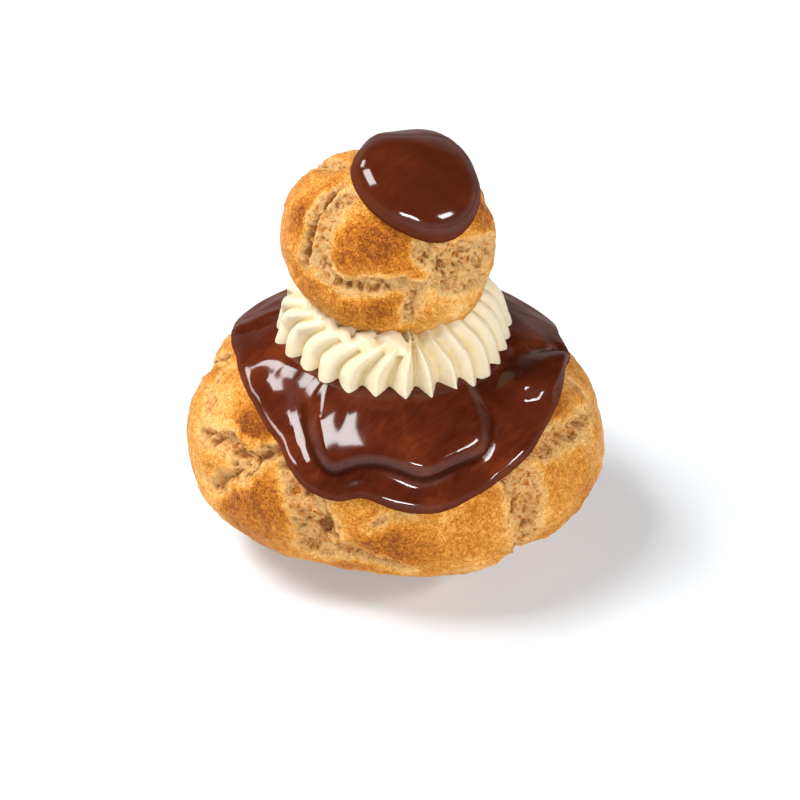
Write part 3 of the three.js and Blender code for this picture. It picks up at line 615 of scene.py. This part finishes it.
def make_icing(node, icing, columns, rows, material):
    """An icing on its bun, with rows as icing_rows takes them and an underside behind its rim."""
    bun, edge = icing["bun"], icing["edge"]
    azimuth = np.arange(columns) * 360 / columns
    reach, outline, aslant, per_degree = icing_rows(icing, azimuth, rows)
    azimuths = np.broadcast_to(azimuth, reach.shape)
    d = direction(azimuths, 90 - reach)
    p = d * plain_radius(bun, d)[..., None]
    inside = (outline - reach) * per_degree / aslant
    inner = np.clip(inside / ICING_LIP, 0, 1)
    outside, _ = outside_splits(bun, p)
    base = slow_crust(bun, p, outside + wandering(p)) + ICING_GAP
    level = mix(icing["level"], 1, smooth(inside, 0, 1.5 * edge))
    base = mix(base, MIDDLE_HEIGHT * bun["rise"] + ICING_GAP, level)
    rounded = np.sqrt(np.clip(1 - (1 - np.clip(inside / edge, 0, 1)) ** 2, 0, 1))
    bead = icing["bead"] * np.exp(-(((inside - edge) / edge) ** 2))
    thickness = (icing["thickness"] + bead) * (0.06 + 0.94 * rounded)
    foot = np.zeros_like(reach)
    if "terrace" in icing:
        pour, foot = second_pour(icing, azimuths, reach, per_degree)
        thickness = thickness + pour
    for height, path in icing["folds"]:
        distance, half = outside_line(bun, path, p)
        thickness = thickness + height * smooth(-distance, -half, half) * inner
    ripples = 0.12 * unevenness(p, 7) + 0.05 * lattice_noise(p, 5.0, 61)
    thickness = np.maximum(thickness, 0.05 + 0.6 * smooth(inside, 0, ICING_LIP))
    thickness = thickness + icing["waves"] * ripples * inner
    top = p + d * (base + thickness)[..., None]
    # the underside runs back from the rim, a little inside the crust
    way_in, over = np.array(ICING_BACK).T[..., None]
    back = np.maximum(outline - way_in * aslant / per_degree, 4)
    inward = direction(np.broadcast_to(azimuth, back.shape), 90 - back)
    under = inward * (plain_radius(bun, inward) + over)[..., None]
    pole = np.array([[0, 0, 1.0]])
    first = pole * np.linalg.norm(top[0], axis=-1).mean()
    last = pole * (plain_radius(bun, pole) + over[-1])
    points = np.concatenate([first, top.reshape(-1, 3), under.reshape(-1, 3), last])
    # marks for the material: the thin rim, dulled and given a painted sheen, and the foot of the second
    # pour, given a painted shadow line
    rim = smooth(inside, icing["dull"], 0.3)
    marks = {
        "thin": np.concatenate([[0], rim.ravel(), np.ones(back.size), [0]]),
        "shadow_line": np.concatenate([[0], foot.ravel(), np.zeros(back.size + 1)]),
    }
    mesh = new_mesh(node, placed(bun, points), ring_faces(len(top) + len(under), columns))
    make_piece(mesh, marks, material, node)


# ------------------------------------------------------------------ cream


def loft(path, side, up, half_width, half_height, sharp, sides=20):
    """A closed tube round a path, whose upper half can rise to a sharp crest, as points and faces."""
    a = np.arange(sides) * 2 * math.pi / sides
    wide = -np.cos(a)
    tall = np.sin(a)
    crest = np.where(tall > 0, (1 - np.abs(wide)) ** 1.15, tall)
    tall = mix(tall, crest, sharp)
    ring = path[:, None, :] + side[:, None, :] * (wide * half_width[:, None])[..., None]
    ring = ring + up[:, None, :] * ((tall - 1) * half_height[:, None])[..., None]
    first = path[:1] - 0.3 * up[:1] * half_height[0]
    points = np.concatenate([first, ring[1:-1].reshape(-1, 3), path[-1:]])
    return points, ring_faces(len(path) - 2, sides)


def shells(columns=34, rows=96):
    """The ring of piped shells, fluted all round, with the columns spread from groove to groove."""
    table = np.array(SHELLS, float)
    across = np.tile(np.arange(columns) * 2 / columns - 1, len(table))
    here = np.repeat(table, columns, axis=0)
    step = np.where(across < 0, -1, 1)
    beside = table[(np.repeat(np.arange(len(table)), columns) + step) % len(table)]
    gap = (step * (beside[:, 0] - here[:, 0])) % 360
    azimuth = here[:, 0] + 0.5 * across * gap
    radius, depth, sharp, turned, shelf = mix(here[:, 1:], beside[:, 1:], np.abs(across)[:, None] / 2).T
    lean = 0.34 * (1 - sharp) * smooth(turned, 6, 12)
    leant = np.abs(across - lean * (1 - across**2))
    ridge = mix((1 - leant**2.8) ** 0.5, (1 - leant) ** 1.3, sharp)
    rings = []
    for along in np.linspace(0, 1, rows):
        shift = (radius - CREST[-1][0])[:, None] * np.array([[1, 0]])
        a, b, c, d = [np.array(q) + (shift if i else 0 * shift) for i, q in enumerate(CREST)]
        top = bezier((a, b, c, d), along)
        heading = (1 - along) ** 2 * (b - a) + 2 * (1 - along) * along * (c - b) + along**2 * (d - c)
        heading = heading / np.linalg.norm(heading, axis=1)[:, None]
        deepening = mix(0.5, 1, smooth(along, 0, 0.35)) * mix(1, 1.35, sharp * smooth(along, 0.72, 1))
        lift = shelf * math.exp(-(((along - SHELF[0]) / SHELF[1]) ** 2))
        sunk = depth * (1 - ridge) * deepening - lift
        swung = azimuth + turned * (1 - smooth(along, *TURNED))
        ring = direction(swung, 0 * swung) * (top[:, 0] + heading[:, 1] * sunk)[:, None]
        ring[:, 2] = top[:, 1] - heading[:, 0] * sunk
        rings.append(ring)
    base = direction(azimuth, 0 * azimuth) * UNDERSIDE[0]
    base[:, 2] = UNDERSIDE[1]
    points = np.concatenate([[[0, 0, CREST[0][1]]], *rings, base, [[0, 0, UNDERSIDE[1]]]])
    return points, ring_faces(rows + 1, len(across))


def curl(points, half_width, half_height, sharp):
    """A small ribbon of cream along a bent path of (azimuth, radius, height) points."""
    t = np.linspace(0, 1, 22)
    corners = [direction(a, 0) * r + np.array([0, 0, z]) for a, r, z in points]
    path = bezier(corners, t)
    along = np.gradient(path, axis=0)
    along /= np.linalg.norm(along, axis=1)[:, None]
    up = np.array([[0, 0, 1.0]]) + 0.9 * path * [1, 1, 0] / np.linalg.norm(path[:, :2], axis=1)[:, None]
    side = np.cross(up, along)
    side /= np.linalg.norm(side, axis=1)[:, None]
    up = np.cross(along, side)
    size = np.sqrt(np.clip(1 - (2 * t - 1) ** 4, 0.02, 1)) * mix(0.75, 1, np.sin(math.pi * t))
    return loft(path, -side, up, half_width * size, half_height * size, sharp)


def fused(points, faces):
    """One closed mesh round all that the points and faces make, softened."""
    parts = bpy.data.objects.new("cream_parts", new_mesh("cream_parts", points, faces))
    bpy.context.scene.collection.objects.link(parts)
    remesh = parts.modifiers.new("fuse", "REMESH")
    remesh.mode = "VOXEL"
    remesh.voxel_size = CREAM_VOXEL * MM
    soften = parts.modifiers.new("soften", "SMOOTH")
    soften.factor = 0.5
    soften.iterations = 3
    whole = bpy.data.meshes.new_from_object(parts.evaluated_get(bpy.context.evaluated_depsgraph_get()))
    bpy.data.objects.remove(parts)
    return whole


def read(values, key, width, kind=np.float32):
    """What each of a mesh's vertices, normals or edges holds, as rows."""
    rows = np.empty(width * len(values), kind)
    values.foreach_get(key, rows)
    return rows.reshape(-1, width)


def make_cream(material):
    points, faces, start = [], [], 0
    for p, f in [shells()] + [curl(*row) for row in CURLS]:
        points.append(p)
        faces += [tuple(start + i for i in face) for face in f]
        start += len(p)
    mesh = fused((np.concatenate(points) + COLLAR_AXIS + SHIFT) * MM, faces)
    p = read(mesh.vertices, "co", 3) / MM
    normal = read(mesh.vertex_normals, "vector", 3)
    # soft dents and drag marks of the piping
    p = p + normal * (0.2 * rough(p, 4.0, 2, 71) + 0.06 * rough(p, 1.3, 2, 75))[:, None]
    # how deep in a groove each point lies, which the cream's material paints as shade
    groove = concavity(p, normal, read(mesh.edges, "vertices", 2, np.int32))
    mesh.vertices.foreach_set("co", (p * MM).astype(np.float32).ravel())
    make_piece(mesh, {"groove": groove}, material, "cream_collar")


def concavity(p, normal, edges, rounds=8, span=0.25):
    """How deep in a groove each vertex lies: 0 to 1 over a span in mm, 0.5 on a flat."""
    count = np.bincount(edges.ravel(), minlength=len(p)).astype(float)[:, None]

    def around(values):
        total = np.zeros_like(values)
        for k in range(values.shape[1]):
            total[:, k] = np.bincount(edges[:, 0], values[edges[:, 1], k], len(p))
            total[:, k] += np.bincount(edges[:, 1], values[edges[:, 0], k], len(p))
        return total / np.maximum(count, 1)

    smoothed = p.astype(float)
    for _ in range(rounds):
        smoothed = 0.5 * smoothed + 0.5 * around(smoothed)
    depth = np.sum((smoothed - p) * normal, 1)[:, None]
    for _ in range(3):
        depth = around(depth)
    return np.clip(0.5 + depth[:, 0] / span, 0, 1)


# ------------------------------------------------------------------ materials


class Nodes:
    """Short ways to add and link shader nodes. Scales are in cells a metre."""

    def __init__(self, name):
        self.material = bpy.data.materials.new(name)
        self.material.use_nodes = True
        self.tree = self.material.node_tree
        self.shader = self.tree.nodes["Principled BSDF"]
        self.place = self.add("ShaderNodeTexCoord").outputs["Object"]

    def add(self, kind, **settings):
        node = self.tree.nodes.new(kind)
        for key, value in settings.items():
            setattr(node, key, value)
        return node

    def link(self, source, target):
        self.tree.links.new(source, target)

    def attribute(self, name):
        return self.add("ShaderNodeAttribute", attribute_name=name).outputs["Fac"]

    def noise(self, scale, detail, roughness, distortion=0.0, stretch=None, turn=0):
        """Noise about 0.5, which can be drawn out along the object's axes turned about Z."""
        node = self.add("ShaderNodeTexNoise")
        source = self.place
        if stretch:
            mapping = self.add("ShaderNodeMapping", vector_type="TEXTURE")
            mapping.inputs["Scale"].default_value = stretch
            mapping.inputs["Rotation"].default_value = (0, 0, math.radians(turn))
            self.link(source, mapping.inputs["Vector"])
            source = mapping.outputs["Vector"]
        self.link(source, node.inputs["Vector"])
        settings = {"Scale": scale, "Detail": detail, "Roughness": roughness, "Distortion": distortion}
        for key, value in settings.items():
            node.inputs[key].default_value = value
        return node.outputs["Fac"]

    def warped(self, scale, amount):
        """Places pushed about by a noise, so that cells in them lose their straight walls."""
        noise = self.add("ShaderNodeTexNoise")
        noise.inputs["Scale"].default_value = scale
        self.link(self.place, noise.inputs["Vector"])
        push = self.add("ShaderNodeVectorMath", operation="MULTIPLY_ADD")
        push.inputs[1].default_value = (amount, amount, amount)
        self.link(noise.outputs["Color"], push.inputs[0])
        self.link(self.place, push.inputs[2])
        return push.outputs["Vector"]

    def voronoi(self, scale, feature="F1", place=None):
        node = self.add("ShaderNodeTexVoronoi", feature=feature)
        self.link(place or self.place, node.inputs["Vector"])
        node.inputs["Scale"].default_value = scale
        return node.outputs["Distance"]

    def ramp(self, source, *stops):
        """Colours or greys by a field, from stops of (place, value)."""
        node = self.add("ShaderNodeValToRGB")
        elements = node.color_ramp.elements
        while len(elements) < len(stops):
            elements.new(0.5)
        for element, (at, value) in zip(elements, stops):
            element.position = at
            element.color = (*value, 1) if isinstance(value, tuple) else (value, value, value, 1)
        self.link(source, node.inputs["Fac"])
        return node.outputs["Color"]

    def blend(self, share, a, b):
        node = self.add("ShaderNodeMix", data_type="RGBA")
        for socket, value in ((node.inputs["Factor"], share), (node.inputs["A"], a), (node.inputs["B"], b)):
            self.put(socket, value)
        return node.outputs["Result"]

    def maths(self, operation, a, b):
        node = self.add("ShaderNodeMath", operation=operation)
        self.put(node.inputs[0], a)
        self.put(node.inputs[1], b)
        return node.outputs["Value"]

    def plus(self, a, b):
        return self.maths("ADD", a, b)

    def times(self, a, b):
        return self.maths("MULTIPLY", a, b)

    def spread(self, source, amount):
        """A field about 0.5 turned into one about 0, with its range scaled."""
        return self.times(self.maths("SUBTRACT", source, 0.5), amount)

    def put(self, socket, value):
        """Links a socket to another one, or sets it to a number, a vector or a colour."""
        if isinstance(value, bpy.types.NodeSocket):
            self.link(value, socket)
        elif isinstance(value, tuple):
            socket.default_value = (*value, 1)[: len(socket.default_value)]
        else:
            socket.default_value = value

    def bump(self, height, distance, strength):
        node = self.add("ShaderNodeBump")
        node.inputs["Strength"].default_value = strength
        node.inputs["Distance"].default_value = distance
        self.link(height, node.inputs["Height"])
        return node.outputs["Normal"]

    def finish(self, **inputs):
        for key, value in inputs.items():
            self.put(self.shader.inputs[key.replace("_", " ")], value)
        return self.material


def crust_material(name, pale):
    """Browned skin and torn crumb, with painted shade in the crumb's holes and hollows. The crumb is the
    lighter, the higher pale is.
    """
    n = Nodes(name)
    torn, browned, hollow = n.attribute("torn"), n.attribute("browned"), n.attribute("hollow")
    patches = n.noise(190, 4, 0.6, 0.4)
    mottle = n.noise(900, 5, 0.72, 0.3)
    grain = n.noise(2600, 3, 0.7)
    # browned skin: golden to brown in patches, sandy all over, with dark specks
    tone = n.plus(n.times(browned, 0.95), n.spread(patches, 0.4))
    tone = n.plus(tone, n.plus(n.spread(mottle, 1.3), n.spread(grain, 1.6)))
    skin = n.ramp(
        tone,
        (0.0, (0.96, 0.585, 0.225)),
        (0.2, (0.87, 0.425, 0.092)),
        (0.45, (0.69, 0.265, 0.028)),
        (0.7, (0.52, 0.160, 0.012)),
        (0.9, (0.34, 0.090, 0.007)),
        (1.0, (0.21, 0.050, 0.005)),
    )
    specks = n.ramp(n.voronoi(950), (0.08, 1.0), (0.22, 0.0))
    skin = n.blend(n.times(specks, 0.35), skin, (0.26, 0.08, 0.010))
    # torn crumb: a lace of pale strands over holes of mixed size, whose dark is painted shade
    frayed = n.warped(900, 0.0016)
    strands = n.noise(560, 6, 0.8, 1.0)
    holes = n.ramp(n.voronoi(560, "DISTANCE_TO_EDGE", frayed), (0.03, 1.0), (0.32, 0.0))
    pores = n.ramp(n.voronoi(1400, "DISTANCE_TO_EDGE", frayed), (0.02, 1.0), (0.28, 0.0))
    web = n.plus(n.times(strands, 0.40), n.times(holes, 0.25))
    web = n.plus(web, n.plus(n.times(pores, 0.12), n.times(grain, 0.26)))
    crumb = n.ramp(
        n.plus(web, pale),
        (0.35, (0.38, 0.105, 0.012)),
        (0.44, (0.74, 0.260, 0.038)),
        (0.51, (0.97, 0.415, 0.102)),
        (0.68, (1.00, 0.610, 0.245)),
    )
    # painted shade: the crumb darkens where it lies hollow, in its holes, caves and seams
    crumb = n.blend(n.ramp(hollow, (0.12, 0.0), (0.7, 0.9)), crumb, (0.36, 0.098, 0.010))
    edge = n.plus(torn, n.plus(n.spread(mottle, 1.0), n.spread(grain, 0.7)))
    edge = n.plus(edge, n.spread(n.noise(330, 4, 0.65, 0.6), 1.7))
    colour = n.blend(n.ramp(edge, (0.38, 0.0), (0.95, 1.0)), skin, crumb)
    relief = n.plus(n.times(mottle, 1.3), n.times(grain, 1.3))
    relief = n.plus(relief, n.times(n.times(web, 3.4), torn))
    return n.finish(
        Base_Color=colour,
        Roughness=n.ramp(n.plus(torn, n.spread(patches, 0.5)), (0.0, 0.5), (0.8, 0.9)),
        Normal=n.bump(relief, 0.0005, 1.0),
        Specular_IOR_Level=0.12,
    )


def icing_material(name, shade, contrast):
    """Set chocolate icing: glossy but for its rims, with streaks as strong as contrast says. Shade scales
    its colours, and the cap's lower shade is painted shade; the foot of the second pour gets a painted
    shadow line and the thin rim a painted sheen.
    """
    n = Nodes(name)
    thin, shadow_line = n.attribute("thin"), n.attribute("shadow_line")
    dull = n.maths("MAXIMUM", thin, shadow_line)
    streaks = n.noise(900, 4, 0.65, 1.0, (1.0, 6.5, 2.0), -42)
    clouds = n.noise(75, 3, 0.55, 0.8)
    tone = n.plus(n.spread(streaks, 0.4 * contrast), n.spread(clouds, 0.64 * contrast))
    tone = n.plus(0.5, tone)
    colour = n.ramp(
        tone,
        (0.3, tuple(shade * c for c in (0.034, 0.0054, 0.0020))),
        (0.5, tuple(shade * c for c in (0.076, 0.0122, 0.0036))),
        (0.72, tuple(shade * c for c in (0.150, 0.0290, 0.0078))),
    )
    # painted shadow: a near-black line along the foot of the second pour's edge
    colour = n.blend(n.times(shadow_line, 0.75), colour, (0.016, 0.0022, 0.0010))
    # painted sheen: a lighter red-brown towards the thin rim, where the coat is turned down
    colour = n.blend(n.times(thin, 0.35), colour, (0.13, 0.030, 0.012))
    ripple = n.plus(n.noise(200, 2, 0.5, 0.3), n.times(n.noise(2600, 2, 0.5), 0.04))
    surface = n.bump(ripple, 0.00008, 0.25)
    return n.finish(
        Base_Color=colour,
        Roughness=n.ramp(streaks, (0.3, 0.5), (0.8, 0.6)),
        Normal=surface,
        Specular_IOR_Level=0.0,
        Coat_Weight=n.ramp(dull, (0.1, 0.2), (0.7, 0.04)),
        Coat_IOR=2.2,
        Coat_Roughness=0.1,
        Coat_Normal=surface,
    )


def cream_material():
    """Buttercream, satin, with painted shade in its grooves: darker and yellower there."""
    n = Nodes("buttercream")
    groove = n.attribute("groove")
    cloud = n.noise(120, 3, 0.5)
    # painted shade: darker and yellower the deeper a point lies in a groove
    colour = n.ramp(
        groove,
        (0.2, (0.635, 0.545, 0.385)),
        (0.5, (0.625, 0.525, 0.345)),
        (0.75, (0.60, 0.455, 0.210)),
        (1.0, (0.48, 0.290, 0.080)),
    )
    colour = n.blend(n.times(cloud, 0.25), colour, (0.66, 0.57, 0.405))
    height = n.plus(n.noise(700, 3, 0.5), n.times(n.noise(220, 3, 0.5), 1.5))
    return n.finish(
        Base_Color=colour,
        Roughness=n.ramp(cloud, (0.3, 0.36), (0.7, 0.48)),
        Normal=n.bump(height, 0.00012, 0.4),
        Specular_IOR_Level=0.4,
        Subsurface_Weight=0.25,
        Subsurface_Radius=(0.0016, 0.0012, 0.0006),
        Subsurface_Scale=1.0,
    )


# ------------------------------------------------------------------ the object

# rows of latitudes from the crown down, close together where the crust shows
lower_rows = [(86, 34, 22), (33.5, -38, 150), (-39, -62, 20), (-66, -84, 4)]
upper_rows = [(84, 56, 8), (54, -40, 140), (-44, -84, 10)]
make_bun("lower_bun", LOWER, 500, lower_rows, 1.0, crust_material("choux_crust", 0.01))
make_bun("upper_bun", UPPER, 380, upper_rows, 0.62, crust_material("small_choux_crust", 0.085))
# the cap's icing is a darker copy of the sheet's: painted shade on the cap
sheet_look = icing_material("chocolate_icing", 0.94, 1.0)
shaded_cap_look = icing_material("chocolate_cap", 0.82, 0.45)
make_icing("lower_icing", LOWER_ICING, 540, (56, 32, 12), sheet_look)
make_icing("upper_icing", UPPER_ICING, 240, (30, 30, 14), shaded_cap_look)
make_cream(cream_material())

# ------------------------------------------------------------------ floor, light and camera

MIDDLE = Vector((0, 0, 0.035))  # of the pastry, in metres
CAMERA_TARGET = np.array([1.0, 0, 27.6])  # in the frame of the sizes above
CAMERA_ELEVATION = 34  # degrees
CAMERA_DISTANCE = 0.44  # metres


def softbox(name, azimuth, elevation, distance, width, height, power):
    """A rectangular light that faces the middle of the pastry. Sizes are in metres, power in watts."""
    light = bpy.data.lights.new(name, "AREA")
    light.shape = "RECTANGLE"
    light.size, light.size_y = width, height
    light.energy = power
    obj = bpy.data.objects.new(name, light)
    away = Vector(direction(azimuth, elevation).tolist()) * distance
    obj.location = MIDDLE + away
    obj.rotation_euler = (-away).to_track_quat("-Z", "Y").to_euler()
    bpy.context.scene.collection.objects.link(obj)


bpy.ops.mesh.primitive_plane_add(size=6, location=(0, 0, 0))
floor = bpy.context.object
floor.name = "floor"
paper = Nodes("white_paper")
grain = paper.noise(30, 3, 0.5)
floor.data.materials.append(
    paper.finish(
        Base_Color=paper.ramp(grain, (0.3, (0.57, 0.597, 0.625)), (0.7, (0.59, 0.617, 0.645))),
        Roughness=0.9,
        Specular_IOR_Level=0.1,
        Emission_Color=(1.0, 1.0, 1.0),
        Emission_Strength=0.17,
    )
)

softbox("key", -88, 56, 0.9, 0.42, 0.36, 10.6)
softbox("rear", -130, 42, 0.9, 0.24, 0.2, 3.0)
softbox("right", 68, 33, 0.9, 0.26, 0.14, 4.0)
softbox("front", 4, 22, 1.0, 0.3, 0.12, 6.2)

world = bpy.data.worlds.new("studio")
bpy.context.scene.world = world
world.use_nodes = True
sky = world.node_tree.nodes
height = sky.new("ShaderNodeSeparateXYZ")
walls = sky.new("ShaderNodeValToRGB")
for element, at, grey in zip(walls.color_ramp.elements, (0.05, 0.4), (1.0, 0.05)):
    element.position = at
    element.color = (grey, grey, grey, 1)
world.node_tree.links.new(sky.new("ShaderNodeTexCoord").outputs["Generated"], height.inputs["Vector"])
world.node_tree.links.new(height.outputs["Z"], walls.inputs["Fac"])
world.node_tree.links.new(walls.outputs["Color"], sky["Background"].inputs["Color"])
sky["Background"].inputs["Strength"].default_value = 1.0

scene = bpy.context.scene
scene.view_settings.view_transform = "Standard"
lens = bpy.data.cameras.new("camera")
lens.lens, lens.sensor_width = 100, 36
camera = bpy.data.objects.new("camera", lens)
camera.location = (CAMERA_TARGET + SHIFT) * MM + CAMERA_DISTANCE * direction(0, CAMERA_ELEVATION)
camera.rotation_euler = Euler((math.radians(90 - CAMERA_ELEVATION), 0, 0))
scene.collection.objects.link(camera)
scene.camera = camera
